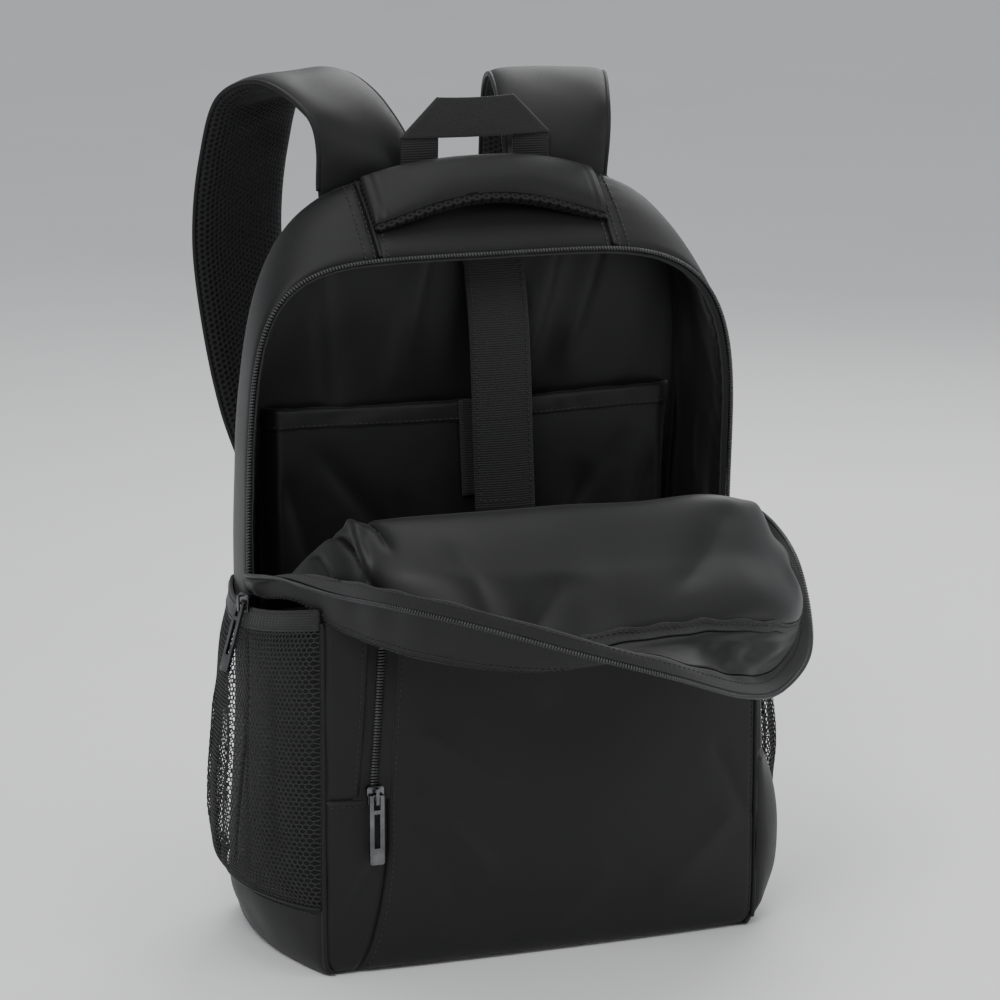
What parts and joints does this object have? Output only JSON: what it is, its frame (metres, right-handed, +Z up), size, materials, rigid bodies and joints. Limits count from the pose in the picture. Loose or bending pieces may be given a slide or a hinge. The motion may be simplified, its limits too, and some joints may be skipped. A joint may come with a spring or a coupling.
{
  "type": "laptop backpack",
  "caption": "Soft zipped daypack, shown open: padded laptop sleeve with a tie, front pocket, net side pockets, top handle, hanging loop and two padded shoulder straps.",
  "frame": {"origin": "middle of the underside, on the flat surface the bag stands on", "axes": "+Z up; the front with its pocket faces -Y, the back with the shoulder straps faces +Y, and +X is to the right seen from the front"},
  "size_m": [0.3668, 0.3833, 0.5174],
  "materials": {
    "coated_cloth": "matt coated woven polyester, near black, soft grey shine on folds",
    "lining_cloth": "thin smooth black lining with a satin shine",
    "net_cloth": "black six-sided net",
    "webbing": "ribbed black webbing and binding",
    "zip_tape": "black woven zip tape",
    "zip_teeth": "black nylon coil",
    "zip_metal": "gunmetal slider and slotted pull",
    "buckle_plastic": "black moulded plastic"
  },
  "bodies": {
    "bag": {"gusset_left": "coated_cloth", "gusset_right": "coated_cloth", "gusset_top": "coated_cloth", "wall_lining": "lining_cloth", "back_panel": "coated_cloth", "back_lining": "lining_cloth", "base_side_left": "coated_cloth", "side_wall_left": "coated_cloth", "base_side_right": "coated_cloth", "side_wall_right": "coated_cloth", "base_floor": "coated_cloth", "front_pocket": "coated_cloth", "pocket_strip_lower": "coated_cloth", "pocket_strip_upper": "coated_cloth", "pocket_zip_tape": "zip_tape", "pocket_strip_right_lower": "coated_cloth", "pocket_strip_right_upper": "coated_cloth", "front_wall": "lining_cloth", "flap_lining": "lining_cloth", "flap_shell": "coated_cloth", "flap_edge": "coated_cloth", "flap_zip_tape": "zip_tape", "flap_zip_teeth": "zip_teeth", "rim_zip_tape": "zip_tape", "rim_zip_teeth": "zip_teeth", "laptop_sleeve": "lining_cloth", "sleeve_binding": "webbing", "sleeve_tie": "webbing", "sleeve_tie_patch": "webbing", "net_pocket_left": "net_cloth", "net_pocket_band_left": "webbing", "net_pocket_right": "net_cloth", "net_pocket_band_right": "webbing", "top_handle": "coated_cloth", "handle_net": "net_cloth", "hang_loop": "webbing", "shoulder_strap_left": "coated_cloth", "strap_net_left": "net_cloth", "shoulder_strap_right": "coated_cloth", "strap_net_right": "net_cloth", "ladder_buckle_left": "buckle_plastic", "strap_webbing_left": "webbing", "strap_tab_left": "coated_cloth", "ladder_buckle_right": "buckle_plastic", "strap_webbing_right": "webbing", "strap_tab_right": "coated_cloth", "pocket_zip_slider": "zip_metal", "main_zip_slider": "zip_metal", "pocket_zip_teeth": "zip_teeth"},
    "pocket_pull": {"pocket_zip_pull": "zip_metal"},
    "main_pull": {"main_zip_pull": "zip_metal"}
  },
  "joints": [
    {"name": "pocket_pull_hinge", "type": "hinge", "parent": "bag", "child": "pocket_pull", "pos_m": [-0.10991, -0.08744, 0.113], "axis": [-1, 0, 0], "range_deg": [0, 160]},
    {"name": "main_pull_hinge", "type": "hinge", "parent": "bag", "child": "main_pull", "pos_m": [-0.16739, -0.00846, 0.21646], "axis": [-0.2079, 0.9781, 0], "range_deg": [0, 140]}
  ]
}
